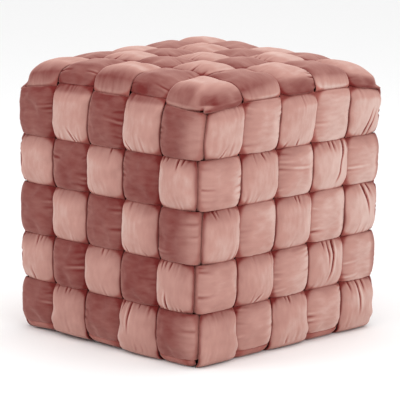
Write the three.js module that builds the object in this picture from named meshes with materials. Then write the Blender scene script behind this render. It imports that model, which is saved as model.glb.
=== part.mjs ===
// Cube ottoman woven from padded velvet straps, 420 x 420 x 436 mm.
//
// Five straps run front to back over the top, five run left to right over the top, and five closed bands lie
// round the sides. They pass over and under one another in a plain weave, on an inner block that carries them.
// Origin: the middle of the underside. +Z is up and -Y is the front.
//
// Every strap is worked out on the skin of the block: a place along it, a place across it and a depth, which is
// the distance out from the block. The depth follows the weave, so that crossing straps nest without touching.

import * as THREE from 'three';

const { lerp } = THREE.MathUtils;
const DEG = Math.PI / 180;
const QUARTER_TURN = 90 * DEG;

// Driving sizes, in millimetres
const WIDTH = 420;
const HEIGHT = 436;
const PITCH = 79; // from one upright strap to the next
const STRAPS = 5; // each way
const MIDDLE_STRAP = 3;
const ROW_EDGES = [391, 313, 237, 157, 83, 14]; // heights between the bands, from the top down

// Section of a strap: a lens with a crowned outer side and a flatter inner side
const CROWN = 7; // outer side, above the strap's mid line
const SHOULDER = 0.9; // share of the crown that is left at the shoulders
const SIDE_GAP = 1.1; // from a strap's edge to the border of its cell
const RAMP = 19; // from the border of a cell to a strap's shoulder, and to where it has its full depth

// Weave
const SWING = 7.2; // depth that a strap gains when it lies over, and loses when it lies under
const SKIN_GAP = 1.15; // from the block to a strap that lies under
const MID_DEPTH = SKIN_GAP + SHOULDER * CROWN + SWING;
const STACK = MID_DEPTH + SWING + CROWN; // from the block to the crown of a strap that lies over

// Block
const BLOCK_HALF = WIDTH / 2 - STACK;
const BLOCK_TOP = HEIGHT - STACK;
const BLOCK_CORNER = 6; // radius of its upright edges
const BLOCK_ARC_STEPS = 2;
const BLOCK_BEND_ANGLES = [90, 60, 30, 0]; // of its top edge, in degrees from upright

// Turn over the top edge, as radius and start of a strap's mid line
const TOP_BEND = 28;
const BEND_AT = BLOCK_HALF + MID_DEPTH - TOP_BEND; // from the middle of the top
const BEND_Z = BLOCK_TOP + MID_DEPTH - TOP_BEND;
const BEND_LENGTH = TOP_BEND * QUARTER_TURN;
const BEND_END = BEND_AT + BEND_LENGTH;
const BENT_MIDDLE = BEND_AT + 10; // where a section that bends over the edge has its middle
const BENT_INNER_LOSS = 3.5; // taken off the inner side of such a section
const BENT_CROWN_LOSS = 1; // taken off its crown

// Turn under the base
const FOOT_BEND = 8.5; // radius of a strap's mid line round the bottom edge
const TAIL_HALF = 5.5; // half the thickness of a tail under the base
const FOOT_Z = FOOT_BEND + TAIL_HALF;
const TAIL_END = 146; // from the middle to the end of a tail
const MITRE_GAP = 3; // from the edge of an outermost tail to the diagonal of the corner
const PLINTH_HALF = TAIL_END - 2; // the underside of the block, between the tails
const BLOCK_FOOT = 2 * TAIL_HALF + 1;

// Places of the outer edge of an outermost strap, from the middle. It is squeezed where a band lies over it.
const CORNER = BLOCK_HALF + MID_DEPTH; // where the mid lines of two sides meet
const SQUEEZED_EDGE = 181;
const SQUEEZED_BENT_EDGE = 199; // on the top, measured round the bend
const TAIL_EDGE = 185;

// Round upright edges, as radii at the outer skin: down the sides, and up where the straps turn over the top
const SIDE_ROUNDING = 24;
const TOP_ROUNDING = 44;
const ROUNDING_FROM = 365;
const ROUNDING_TO = 410;

const STRAP_COLOR = 0xc48f85;
const BAND_COLOR = 0xa86a62;
const BLOCK_COLOR = 0x3a2220;

const cloth = (color) => new THREE.MeshStandardMaterial({ color, roughness: 0.75, metalness: 0 });

// Closed skin over a list of rings that all have the same number of points. A loop joins its last ring to its
// first one, and any other run gets a flat cap at each end.
function skin(rings, isLoop) {
  const around = rings[0].length;
  const positions = rings.flat().flatMap((point) => withRoundEdge(point).toArray());
  const faces = [];
  const spans = isLoop ? rings.length : rings.length - 1;
  for (let ring = 0; ring < spans; ring += 1) {
    const here = ring * around;
    const next = ((ring + 1) % rings.length) * around;
    for (let side = 0; side < around; side += 1) {
      const after = (side + 1) % around;
      faces.push(here + side, here + after, next + after);
      faces.push(here + side, next + after, next + side);
    }
  }
  if (!isLoop) {
    const last = (rings.length - 1) * around;
    for (let side = 1; side < around - 1; side += 1) {
      faces.push(0, side + 1, side);
      faces.push(last, last + side, last + side + 1);
    }
  }
  const geometry = new THREE.BufferGeometry();
  geometry.setAttribute('position', new THREE.Float32BufferAttribute(positions, 3));
  geometry.setIndex(volumeOf(positions, faces) < 0 ? faces.reverse() : faces);
  geometry.computeVertexNormals();
  return geometry;
}

// Moves a point near an upright edge of the cube inwards, so that square outlines get round corners
function withRoundEdge(point) {
  const rise = THREE.MathUtils.smoothstep(point.z, ROUNDING_FROM, ROUNDING_TO);
  const start = WIDTH / 2 - lerp(SIDE_ROUNDING, TOP_ROUNDING, rise);
  const x = Math.abs(point.x) - start;
  const y = Math.abs(point.y) - start;
  if (x <= 0 || y <= 0) return point;
  const pull = Math.max(x, y) / Math.hypot(x, y);
  return new THREE.Vector3(
    Math.sign(point.x) * (start + x * pull),
    Math.sign(point.y) * (start + y * pull),
    point.z,
  );
}

// Volume inside the faces, negative where they face inwards
function volumeOf(positions, faces) {
  const corner = (index) => new THREE.Vector3().fromArray(positions, index * 3);
  let volume = 0;
  for (let face = 0; face < faces.length; face += 3) {
    const [a, b, c] = faces.slice(face, face + 3).map(corner);
    volume += a.dot(b.cross(c)) / 6;
  }
  return volume;
}

// The weave. Columns are counted from -X on the front, back and top and from -Y on the left, right and top, and
// rows from the top down. Each rule says whether the strap lies over in that cell.
const isEven = (number) => number % 2 === 0;
const frontStrapIsOver = (column, row) => !isEven(column + row);
const sideStrapIsOver = (column, row) => isEven(column + row);
const frontToBackIsOver = (frontColumn, sideColumn) => isEven(frontColumn + sideColumn);
const stateOf = (isOver) => (isOver ? 1 : -1);

// Borders of the five cells across a face, between its two corners
const CELL_BORDERS = [-CORNER, -1.5 * PITCH, -0.5 * PITCH, 0.5 * PITCH, 1.5 * PITCH, CORNER];
const cellOf = (column) => [CELL_BORDERS[column - 1], CELL_BORDERS[column]];
const isOutermost = (column) => column === 1 || column === STRAPS;

// The path of an upright strap. Its run is the length along the mid line from the middle of the top. The cell at
// the top edge reaches round the bend, down to the first band.
const runAtHeight = (z) => BEND_END + BEND_Z - z;
const FOOT_RUN = runAtHeight(FOOT_Z);
const EDGE_CELL = [1.5 * PITCH, runAtHeight(ROW_EDGES[0])];

// A place on the path: how far out from the middle, and how high
function onPath(run, depth) {
  const lift = depth - MID_DEPTH;
  const reach = Math.abs(run);
  if (reach <= BEND_AT) return { out: reach, z: BLOCK_TOP + depth };
  if (reach <= BEND_END) {
    const angle = (reach - BEND_AT) / TOP_BEND;
    const radius = TOP_BEND + lift;
    return { out: BEND_AT + radius * Math.sin(angle), z: BEND_Z + radius * Math.cos(angle) };
  }
  if (reach <= FOOT_RUN) return { out: BLOCK_HALF + depth, z: BEND_Z + BEND_END - reach };
  const turn = Math.min((reach - FOOT_RUN) / FOOT_BEND, QUARTER_TURN);
  const radius = FOOT_BEND + lift;
  const tail = reach - FOOT_RUN - turn * FOOT_BEND;
  return { out: CORNER - FOOT_BEND + radius * Math.cos(turn) - tail, z: FOOT_Z - radius * Math.sin(turn) };
}

// One point of a strap that runs front to back. "across" is the place across the strap on its mid line. On the
// top of an outermost strap it goes on round the bend of the other edge, from a mitre at the corner.
function strapPoint(run, across, depth) {
  const spot = onPath(run, depth);
  const reach = Math.abs(run);
  const flat = new THREE.Vector3(across, Math.sign(run) * spot.out, spot.z);
  if (reach >= BEND_END) return flat;
  const turned = Math.max(reach - BEND_AT, 0) / TOP_BEND;
  const mitre = BEND_AT + TOP_BEND * Math.sin(turned);
  const beyond = Math.abs(across) - mitre;
  if (beyond <= 0) return flat;
  const angle = Math.min(turned + beyond / TOP_BEND, QUARTER_TURN);
  const bend = onPath(BEND_AT + angle * TOP_BEND, depth);
  return new THREE.Vector3(Math.sign(across) * bend.out, Math.sign(run) * spot.out, bend.z);
}

// Places across a strap: an edge, a shoulder, the middle, the other shoulder and the other edge
function placesAcross([from, to], middle = (from + to) / 2) {
  return [from + SIDE_GAP, from + RAMP, middle, to - RAMP, to - SIDE_GAP];
}

// Depths at those places: the outer side, and the inner side between the shoulders
function sectionDepths(midDepth, crown, isFlat) {
  const shoulder = isFlat ? crown : crown * SHOULDER;
  return {
    outer: [midDepth, midDepth + shoulder, midDepth + crown, midDepth + shoulder, midDepth],
    inner: midDepth - crown * SHOULDER,
  };
}

function section(pointAt, places, depths, hasInnerMiddle) {
  const outer = places.map((place, index) => pointAt(place, depths.outer[index]));
  const innerPlaces = hasInnerMiddle ? [places[3], places[2], places[1]] : [places[3], places[1]];
  return [...outer, ...innerPlaces.map((place) => pointAt(place, depths.inner))];
}

// Stations along one half of an upright strap, from the middle of the top to its tail. The state is 1 where the
// strap lies over, -1 where it lies under and 0 on the border between two cells.
function halfStations(isOverTopCell, isOverRow) {
  const stations = [];
  const add = (run, state, zone) => stations.push({ run, state, zone });
  const [middleState, nextState, edgeState] = [0, 1, 2].map((step) => stateOf(isOverTopCell(step)));

  add(PITCH / 2 - RAMP, middleState, 'top');
  add(PITCH / 2 + RAMP, nextState, 'top');
  add(1.5 * PITCH - RAMP, nextState, 'top');

  const [edgeFrom, edgeTo] = EDGE_CELL;
  add(edgeFrom + RAMP, edgeState, 'top');
  add(BENT_MIDDLE, edgeState, 'top');
  add(edgeTo - RAMP, edgeState, 'top');
  add(edgeTo - RAMP / 2, edgeState / 2, 'top');
  add(edgeTo, 0, 'side');

  for (let row = 1; row <= STRAPS; row += 1) {
    const state = stateOf(isOverRow(row));
    add(runAtHeight(ROW_EDGES[row - 1] - RAMP), state, 'side');
    add(runAtHeight(ROW_EDGES[row] + RAMP), state, 'side');
  }

  const turnLength = FOOT_BEND * QUARTER_TURN;
  add(FOOT_RUN, 0, 'foot');
  add(FOOT_RUN + turnLength / 2, 0, 'foot');
  add(FOOT_RUN + turnLength, 0, 'foot');
  add(FOOT_RUN + turnLength + CORNER - FOOT_BEND - TAIL_END, 0, 'foot');
  return stations;
}

// Places across an upright strap at one station. An outermost strap is squeezed in from the corner where it lies
// under, and under the base its outer edge follows the diagonal of the corner.
function strapAcross(column, station) {
  if (!isOutermost(column)) return placesAcross(cellOf(column));
  let full = placesAcross(cellOf(STRAPS));
  let squeezedEdge = SQUEEZED_EDGE;
  let squeeze = (1 - station.state) / 2;
  if (station.zone === 'top') {
    full = placesAcross(EDGE_CELL, BENT_MIDDLE);
    squeezedEdge = SQUEEZED_BENT_EDGE;
  }
  if (station.zone === 'foot') {
    squeezedEdge = Math.min(onPath(station.run, MID_DEPTH).out - MITRE_GAP, TAIL_EDGE);
    squeeze = 1;
  }
  const [, shoulder, , , edge] = full;
  const kept = (lerp(edge, squeezedEdge, squeeze) - shoulder) / (edge - shoulder);
  const places = full.map((place) => (place > shoulder ? lerp(shoulder, place, kept) : place));
  return column === STRAPS ? places : places.map((place) => -place).reverse();
}

function stationDepths(column, station) {
  const isFoot = station.zone === 'foot';
  const depths = sectionDepths(MID_DEPTH + SWING * station.state, isFoot ? TAIL_HALF : CROWN, isFoot);
  if (isOutermost(column) && station.zone === 'top') {
    depths.inner += BENT_INNER_LOSS;
    depths.outer[2] -= BENT_CROWN_LOSS;
  }
  return depths;
}

// A strap from tail to tail, running front to back in the given column
function uprightStrap(name, column, isOverColumn, isOverRow) {
  const near = halfStations((step) => isOverColumn(MIDDLE_STRAP - step), isOverRow);
  const far = halfStations((step) => isOverColumn(MIDDLE_STRAP + step), isOverRow);
  const stations = [...near.reverse().map((station) => ({ ...station, run: -station.run })), ...far];
  const rings = stations.map((station) => {
    const pointAt = (place, depth) => strapPoint(station.run, place, depth);
    return section(pointAt, strapAcross(column, station), stationDepths(column, station), isOutermost(column));
  });
  const mesh = new THREE.Mesh(skin(rings, false), cloth(STRAP_COLOR));
  mesh.name = name;
  return mesh;
}

const ottoman = new THREE.Group();

// Straps that run front to back
for (let column = 1; column <= STRAPS; column += 1) {
  const isOverColumn = (sideColumn) => frontToBackIsOver(column, sideColumn);
  const isOverRow = (row) => frontStrapIsOver(column, row);
  ottoman.add(uprightStrap(`strap_fb_${column}`, column, isOverColumn, isOverRow));
}

// Straps that run left to right: each is made front to back and turned by a quarter, which brings its near end
// to the left side and +X to the front, so its column counts from the other end.
for (let column = 1; column <= STRAPS; column += 1) {
  const isOverColumn = (frontColumn) => !frontToBackIsOver(frontColumn, column);
  const isOverRow = (row) => sideStrapIsOver(column, row);
  const strap = uprightStrap(`strap_lr_${column}`, STRAPS + 1 - column, isOverColumn, isOverRow);
  strap.rotation.z = -QUARTER_TURN;
  ottoman.add(strap);
}

// Bands. A band is followed round the four sides, 0 to 3: front, right, back and left. Along each side it has two
// stations a cell, and one more on each corner, where it lies at its middle depth. Cells are counted on the way
// round, so on the back and the left they run against the weave's columns.
function bandIsOver(row, side, cell) {
  const column = side < 2 ? cell : STRAPS + 1 - cell;
  return isEven(side) ? !frontStrapIsOver(column, row) : !sideStrapIsOver(column, row);
}

function bandSection(row, side, midDepth, pointOnFront) {
  const heights = placesAcross([ROW_EDGES[row], ROW_EDGES[row - 1]]);
  const turn = new THREE.Matrix4().makeRotationZ(side * QUARTER_TURN);
  const pointAt = (z, depth) => pointOnFront(z, depth).applyMatrix4(turn);
  return section(pointAt, heights, sectionDepths(midDepth, CROWN, false), false);
}

function band(row) {
  const rings = [];
  for (let side = 0; side < 4; side += 1) {
    for (let cell = 1; cell <= STRAPS; cell += 1) {
      const [from, to] = cellOf(cell);
      const midDepth = MID_DEPTH + SWING * stateOf(bandIsOver(row, side, cell));
      for (const along of [from + RAMP, to - RAMP]) {
        const onSide = (z, depth) => new THREE.Vector3(along, -BLOCK_HALF - depth, z);
        rings.push(bandSection(row, side, midDepth, onSide));
      }
    }
    const onCorner = (z, depth) => {
      const out = CORNER + (depth - MID_DEPTH) * Math.SQRT1_2;
      return new THREE.Vector3(out, -out, z);
    };
    rings.push(bandSection(row, side, MID_DEPTH, onCorner));
  }
  const mesh = new THREE.Mesh(skin(rings, true), cloth(BAND_COLOR));
  mesh.name = `band_${row}`;
  return mesh;
}

for (let row = 1; row <= STRAPS; row += 1) ottoman.add(band(row));

// Block: square outlines with small round corners, drawn in at the foot to the plinth that meets the ground and
// bent in at the top edge.
function blockRing(half, z) {
  const outline = new THREE.Shape();
  const middle = half - BLOCK_CORNER;
  outline.absarc(middle, middle, BLOCK_CORNER, 0, QUARTER_TURN);
  outline.absarc(-middle, middle, BLOCK_CORNER, QUARTER_TURN, 2 * QUARTER_TURN);
  outline.absarc(-middle, -middle, BLOCK_CORNER, 2 * QUARTER_TURN, 3 * QUARTER_TURN);
  outline.absarc(middle, -middle, BLOCK_CORNER, 3 * QUARTER_TURN, 4 * QUARTER_TURN);
  const points = outline.getPoints(BLOCK_ARC_STEPS).slice(0, -1);
  return points.map((point) => new THREE.Vector3(point.x, point.y, z));
}

const blockRings = [
  blockRing(PLINTH_HALF, 0),
  blockRing(PLINTH_HALF, BLOCK_FOOT),
  blockRing(BLOCK_HALF, BLOCK_FOOT),
];
for (const angle of BLOCK_BEND_ANGLES) {
  const radius = TOP_BEND - MID_DEPTH;
  const half = BEND_AT + radius * Math.sin(angle * DEG);
  blockRings.push(blockRing(half, BEND_Z + radius * Math.cos(angle * DEG)));
}
const block = new THREE.Mesh(skin(blockRings, false), cloth(BLOCK_COLOR));
block.name = 'seat_block';
ottoman.add(block);

export default ottoman;
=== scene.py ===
# Cube ottoman woven from padded velvet straps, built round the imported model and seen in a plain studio.

import math

import bpy
import numpy as np
from mathutils import Matrix, Vector


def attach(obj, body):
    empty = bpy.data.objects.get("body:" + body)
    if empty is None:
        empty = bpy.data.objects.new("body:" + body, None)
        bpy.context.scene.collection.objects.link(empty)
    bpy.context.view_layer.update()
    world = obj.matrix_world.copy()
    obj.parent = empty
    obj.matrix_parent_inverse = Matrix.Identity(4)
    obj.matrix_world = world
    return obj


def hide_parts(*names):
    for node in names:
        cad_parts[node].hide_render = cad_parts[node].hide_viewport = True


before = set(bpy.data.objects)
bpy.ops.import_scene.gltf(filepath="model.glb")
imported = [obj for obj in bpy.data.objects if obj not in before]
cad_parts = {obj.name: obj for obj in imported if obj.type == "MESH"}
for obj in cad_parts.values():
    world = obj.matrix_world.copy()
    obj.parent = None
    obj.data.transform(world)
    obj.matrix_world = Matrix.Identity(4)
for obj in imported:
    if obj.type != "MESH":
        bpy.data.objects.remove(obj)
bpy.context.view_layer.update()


# The camera stands a few metres off, opposite the near upright edge, and looks slightly down. Its long lens
# shows the front and the right side about equally and the top only as a narrow diamond.

CAMERA_TURN = math.radians(44.8)
CAMERA_RISE = math.radians(10.4)
CAMERA_ROLL = math.radians(0.05)
CAMERA_DISTANCE = 3.70
CAMERA_AIM = Vector((0.0, 0.0, 0.2044))
SENSOR_WIDTH = 36
FOCAL_PIXELS = 2335
FRAME_PIXELS = 400
SHIFT_PIXELS = 0.5

back = Vector(
    (
        math.sin(CAMERA_TURN) * math.cos(CAMERA_RISE),
        -math.cos(CAMERA_TURN) * math.cos(CAMERA_RISE),
        math.sin(CAMERA_RISE),
    )
)
right = Vector((math.cos(CAMERA_TURN), math.sin(CAMERA_TURN), 0.0))
up = back.cross(right)
camera_data = bpy.data.cameras.new("camera")
camera = bpy.data.objects.new("camera", camera_data)
bpy.context.collection.objects.link(camera)
camera_data.sensor_width = SENSOR_WIDTH
camera_data.lens = SENSOR_WIDTH * FOCAL_PIXELS / FRAME_PIXELS
camera_data.shift_x = SHIFT_PIXELS / FRAME_PIXELS
camera_data.clip_end = 50
placed = Matrix.Translation(CAMERA_AIM + back * CAMERA_DISTANCE)
turned = Matrix((right, up, back)).transposed().to_4x4()
rolled = Matrix.Rotation(-CAMERA_ROLL, 4, "Z")
camera.matrix_world = placed @ turned @ rolled
bpy.context.scene.camera = camera


# The studio is a plain pale floor that runs far back, an even white surround and three large soft lights:
# one high on the left, one on the right to fill, and one overhead.

FLOOR_SIZE = 30
FLOOR_COLOR = (0.93, 0.93, 0.93, 1)
SURROUND_COLOR = (1, 1, 1, 1)
SURROUND_STRENGTH = 0.97

bpy.ops.object.select_all(action="DESELECT")
bpy.ops.mesh.primitive_plane_add(size=FLOOR_SIZE, location=(0, 0, 0))
floor = bpy.context.object
floor.name = "floor"
floor_paint = bpy.data.materials.new("floor_paint")
floor_paint.use_nodes = True
floor_shader = floor_paint.node_tree.nodes["Principled BSDF"]
floor_shader.inputs["Base Color"].default_value = FLOOR_COLOR
floor_shader.inputs["Roughness"].default_value = 0.9
floor.data.materials.append(floor_paint)

world = bpy.data.worlds.new("studio")
bpy.context.scene.world = world
world.use_nodes = True
surround = world.node_tree.nodes["Background"]
surround.inputs["Color"].default_value = SURROUND_COLOR
surround.inputs["Strength"].default_value = SURROUND_STRENGTH
bpy.context.scene.view_settings.view_transform = "Standard"


def soft_light(name, place, size, power):
    light_data = bpy.data.lights.new(name, "AREA")
    light_data.size = size
    light_data.energy = power
    light = bpy.data.objects.new(name, light_data)
    bpy.context.collection.objects.link(light)
    light.location = place
    light.rotation_euler = (CAMERA_AIM - Vector(place)).to_track_quat("-Z", "Y").to_euler()


soft_light("key_light", place=(-1.3, -2.6, 2.4), size=1.6, power=19)
soft_light("fill_light", place=(2.6, -0.9, 1.8), size=1.8, power=23)
soft_light("top_light", place=(0.3, 0.4, 2.8), size=1.6, power=15)


# The inner block is the stuffed body that the straps are drawn round. A thin dark cover closes it all round
# and shows in the small holes of the weave and as the plain flat underside; its dark colour is partly
# painted shade for those holes. How it is fixed isn't known.
# Its size is what the weave leaves: a strap's middle swings in and out by SWING and bulges by CROWN.

WIDTH = 0.420
HEIGHT = 0.436
CROWN = 0.007
SWING = 0.0072
SKIN_GAP = 0.00115
SHOULDER = 0.9
MID_DEPTH = SKIN_GAP + SHOULDER * CROWN + SWING
STACK = MID_DEPTH + SWING + CROWN
BLOCK_HALF = WIDTH / 2 - STACK
BLOCK_TOP = HEIGHT - STACK
PLINTH_HALF = 0.144
BLOCK_FOOT = 0.012
BLOCK_CORNER = 0.006


class Shade:
    """A socket of a material's node tree that adds and multiplies, so that a pattern reads as a sum."""

    def __init__(self, tree, socket):
        self.tree = tree
        self.socket = socket

    def math(self, operation, first, second):
        settings = {"operation": operation}
        return add_node(self.tree, "ShaderNodeMath", settings, {0: first, 1: second}).outputs[0]

    def __add__(self, other):
        return Shade(self.tree, self.math("ADD", self, other))

    def __radd__(self, other):
        return Shade(self.tree, self.math("ADD", other, self))

    def __sub__(self, other):
        return Shade(self.tree, self.math("SUBTRACT", self, other))

    def __rsub__(self, other):
        return Shade(self.tree, self.math("SUBTRACT", other, self))

    def __mul__(self, other):
        return Shade(self.tree, self.math("MULTIPLY", self, other))

    def __rmul__(self, other):
        return Shade(self.tree, self.math("MULTIPLY", other, self))


def add_node(tree, kind, settings, values):
    node = tree.nodes.new(kind)
    for name, value in settings.items():
        if name == "stops":
            for place, _ in value[1:-1]:
                node.color_ramp.elements.new(place)
            for element, (place, tint) in zip(node.color_ramp.elements, value):
                element.position = place
                element.color = tint
        else:
            setattr(node, name, value)
    for name, value in values.items():
        if isinstance(value, Shade):
            tree.links.new(value.socket, node.inputs[name])
        else:
            node.inputs[name].default_value = value
    return node


def noise(tree, place, scale, detail):
    values = {"Vector": place, "Scale": scale, "Detail": detail}
    return Shade(tree, add_node(tree, "ShaderNodeTexNoise", {}, values).outputs["Fac"])


def new_material(name):
    material = bpy.data.materials.new(name)
    material.use_nodes = True
    return material, material.node_tree, material.node_tree.nodes["Principled BSDF"]


def connect(tree, shade, shader, name):
    tree.links.new(shade.socket, shader.inputs[name])


def dress(piece, material, node):
    piece.data.materials.clear()
    piece.data.materials.append(material)
    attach(piece, "root")
    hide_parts(node)


def color(red, green, blue):
    """A colour given in steps of 0 to 255, as a screen shows it, in the linear form that shaders take."""

    def linear(value):
        share = value / 255
        return share / 12.92 if share <= 0.04045 else ((share + 0.055) / 1.055) ** 2.4

    return (linear(red), linear(green), linear(blue), 1)


def edit_faces(piece, is_wanted):
    bpy.context.view_layer.objects.active = piece
    piece.select_set(True)
    bpy.ops.object.mode_set(mode="OBJECT")
    for face in piece.data.polygons:
        face.select = is_wanted(face)
    for edge in piece.data.edges:
        edge.select = False
    for vertex in piece.data.vertices:
        vertex.select = False
    for face in piece.data.polygons:
        if face.select:
            for index in face.vertices:
                piece.data.vertices[index].select = True
    bpy.ops.object.mode_set(mode="EDIT")
    bpy.ops.mesh.select_mode(type="FACE")


def smooth(value, low, high):
    share = np.clip((value - low) / (high - low), 0, 1)
    return share * share * (3 - 2 * share)


# How far the soft body gives way, and the places and heights between which each move fades in, in metres.

TOP_DOME = 0.0055
CORNER_SAG = 0.0125
EDGE_SAG = 0.003
RIGHT_SAG = 0.0155
LEFT_SAG = 0.005
NEAR_SAG = 0.007
HOLLOW = 0.0045
FAR_RAISE = 0.004
TOP_LEAN = 0.0045
FOOT_LEAN = 0.0048
SIDE_LEAN = 0.005
FOOT_RAISE = 0.0035

SAG_POWER = 1.6
UNEVEN_SHARE = 0.25
UNEVEN_AREA = 0.003
CORNER_PLACES = (0.27, 0.43)
EDGE_PLACES = (0.08, 0.22)
RIGHT_WIDTH = 0.4
LEFT_PLACES = (0.1, 0.3)
NEAR_PLACES = (0.16, 0.33)
CENTER_PLACES = (0.06, 0.18)
HOLLOW_PLACES = (-0.27, -0.12)
FAR_PLACES = (0.22, 0.34)
FREE_PLACES = (-0.40, -0.22)
SIDE_PLACES = (0.10, 0.20)
SIDE_NARROWING = 0.3
LEFT_FOOT_FRONT = (0.15, 0.20)
LEFT_FOOT_START = (-0.20, -0.13)
LEFT_FOOT_END = (-0.04, 0.10)

SAG_HEIGHTS = (0.33, 0.43)
DOME_HEIGHTS = (0.405, 0.420)
SIDE_SAG_HEIGHTS = (0.388, 0.432)
NEAR_SAG_HEIGHTS = (0.386, 0.420)
HOLLOW_HEIGHTS = (0.400, 0.420)
LEAN_HEIGHTS = (0.33, 0.41)
FOOT_LEAN_HEIGHTS = (0, 0.32)
SIDE_LEAN_HEIGHTS = (0.12, 0.36)
RAISED_HEIGHTS = (0, 0.07)


def settled(points):
    """The soft body has sunk at its corners, most at the right one, and stands a little askew."""
    x, y, z = points[..., 0], points[..., 1], points[..., 2]
    toward_corner = smooth(np.abs(x) + np.abs(y), *CORNER_PLACES) ** SAG_POWER
    toward_edge = smooth(np.maximum(np.abs(x), np.abs(y)), *EDGE_PLACES)
    uneven = 1 + UNEVEN_SHARE * np.tanh(x * y / UNEVEN_AREA)
    low = CORNER_SAG * uneven * toward_corner + EDGE_SAG * toward_edge
    sag = low * smooth(z, *SAG_HEIGHTS) - TOP_DOME * smooth(z, *DOME_HEIGHTS)
    to_right = np.clip((x + y) / RIGHT_WIDTH, 0, 1) ** SAG_POWER
    to_left = smooth(-x - y, *LEFT_PLACES)
    sag += (RIGHT_SAG * to_right + LEFT_SAG * to_left) * smooth(z, *SIDE_SAG_HEIGHTS)
    near = NEAR_SAG * smooth(x - y, *NEAR_PLACES) * smooth(z, *NEAR_SAG_HEIGHTS)
    centered = 1 - smooth(np.abs(x + y), *CENTER_PLACES)
    to_near = smooth(x - y, *HOLLOW_PLACES)
    to_far = smooth(y - x, *FAR_PLACES)
    hollow = (HOLLOW * to_near - FAR_RAISE * to_far) * centered
    sag += near + hollow * smooth(z, *HOLLOW_HEIGHTS)
    free = smooth(x + y, *FREE_PLACES)
    lean = TOP_LEAN * smooth(z, *LEAN_HEIGHTS) * free
    lean = lean - FOOT_LEAN * (1 - smooth(z, *FOOT_LEAN_HEIGHTS)) * free
    side = smooth(x - SIDE_NARROWING * np.abs(y), *SIDE_PLACES) * (1 - smooth(y, *SIDE_PLACES))
    side_lean = SIDE_LEAN * smooth(z, *SIDE_LEAN_HEIGHTS) * side
    left_foot = smooth(-y, *LEFT_FOOT_FRONT) * smooth(x, *LEFT_FOOT_START)
    left_foot = left_foot * (1 - smooth(x, *LEFT_FOOT_END))
    raised = FOOT_RAISE * left_foot * (1 - smooth(z, *RAISED_HEIGHTS))
    return np.stack([x + lean, y + lean + side_lean, z - sag + raised], axis=-1)


bpy.ops.object.select_all(action="DESELECT")
bpy.ops.mesh.primitive_cube_add(size=1, location=(0, 0, (BLOCK_FOOT + BLOCK_TOP) / 2))
block = bpy.context.object
block.name = "inner_block"
block.scale = (2 * BLOCK_HALF, 2 * BLOCK_HALF, BLOCK_TOP - BLOCK_FOOT)
bpy.ops.object.transform_apply(location=True, rotation=True, scale=True)
edit_faces(block, lambda face: face.normal.z < -0.9)
bpy.ops.mesh.inset(thickness=BLOCK_HALF - PLINTH_HALF, depth=0)
bpy.ops.mesh.extrude_region_move(TRANSFORM_OT_translate={"value": (0, 0, -BLOCK_FOOT)})
bpy.ops.object.mode_set(mode="OBJECT")
rounding = block.modifiers.new("rounding", "BEVEL")
rounding.width = BLOCK_CORNER
rounding.segments = 3
rounding.limit_method = "ANGLE"
bpy.ops.object.modifier_apply(modifier="rounding")
bpy.ops.object.mode_set(mode="EDIT")
bpy.ops.mesh.select_all(action="SELECT")
bpy.ops.mesh.remove_doubles(threshold=0.0001)
bpy.ops.mesh.subdivide(number_cuts=6)
bpy.ops.object.mode_set(mode="OBJECT")
corners = np.zeros(3 * len(block.data.vertices), dtype=np.float32)
block.data.vertices.foreach_get("co", corners)
sunk = settled(corners.reshape(-1, 3)).reshape(-1)
block.data.vertices.foreach_set("co", sunk.astype(np.float32))
bpy.ops.object.shade_smooth_by_angle(angle=math.radians(40))

# DARK_COVER is partly painted shade: it stands for the shadow in the weave's small holes.
DARK_COVER = color(62, 23, 21)
WORN_COVER = color(92, 40, 37)
FUZZ_SCALE = 900
FUZZ_HEIGHT = 0.0004

cover, tree, shader = new_material("block_cover")
place = Shade(tree, add_node(tree, "ShaderNodeTexCoord", {}, {}).outputs["Object"])
fuzz = noise(tree, place, FUZZ_SCALE, detail=3)
mottled = {0: fuzz, 6: DARK_COVER, 7: WORN_COVER}
dark = add_node(tree, "ShaderNodeMix", {"data_type": "RGBA"}, mottled)
connect(tree, Shade(tree, dark.outputs[2]), shader, "Base Color")
relief = add_node(tree, "ShaderNodeBump", {}, {"Height": fuzz, "Strength": 0.4, "Distance": FUZZ_HEIGHT})
connect(tree, Shade(tree, relief.outputs[0]), shader, "Normal")
shader.inputs["Roughness"].default_value = 0.95
dress(block, cover, "seat_block")


# The five straps that run front to back. Each is a tube of velvet about 78 mm wide, filled with wadding,
# that lies over and under its neighbours and ends in a flat tail under the base. Its cover is a flat grid
# that is laid along the weave, with gathers where it dives under a neighbour, and closed to a tube.

PITCH = 0.079
STRAPS = 5
CORNER = BLOCK_HALF + MID_DEPTH
TOP_LINE = BLOCK_TOP + MID_DEPTH
ROW_EDGES = [0.391, 0.313, 0.237, 0.157, 0.083, 0.014]
EDGE_RUN = CORNER + TOP_LINE - ROW_EDGES[0]
CELL_BORDERS = [-CORNER, -1.5 * PITCH, -0.5 * PITCH, 0.5 * PITCH, 1.5 * PITCH, CORNER]

# How the weave goes round the cube's rounded edges.

BEND = 0.028
BEND_FROM = CORNER - BEND
BEND_HEIGHT = TOP_LINE - BEND
SIDE_ROUNDING_FROM = 0.186
ROUNDING_LOW = 0.378
HEM_INNER = (0.160, 0.190)
HEM_ROUND_HEIGHTS = (0.394, 0.414)
TOP_RELIEF = 0.86
EDGE_RELIEF = 0.60
RELIEF_INNER = (0.105, 0.165)
RELIEF_DROP = (0.016, 0.048)
WIDE_DROP = 0.031

# A strap's section: how full it is, how it narrows between its neighbours, and how uneven its wadding is.

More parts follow.
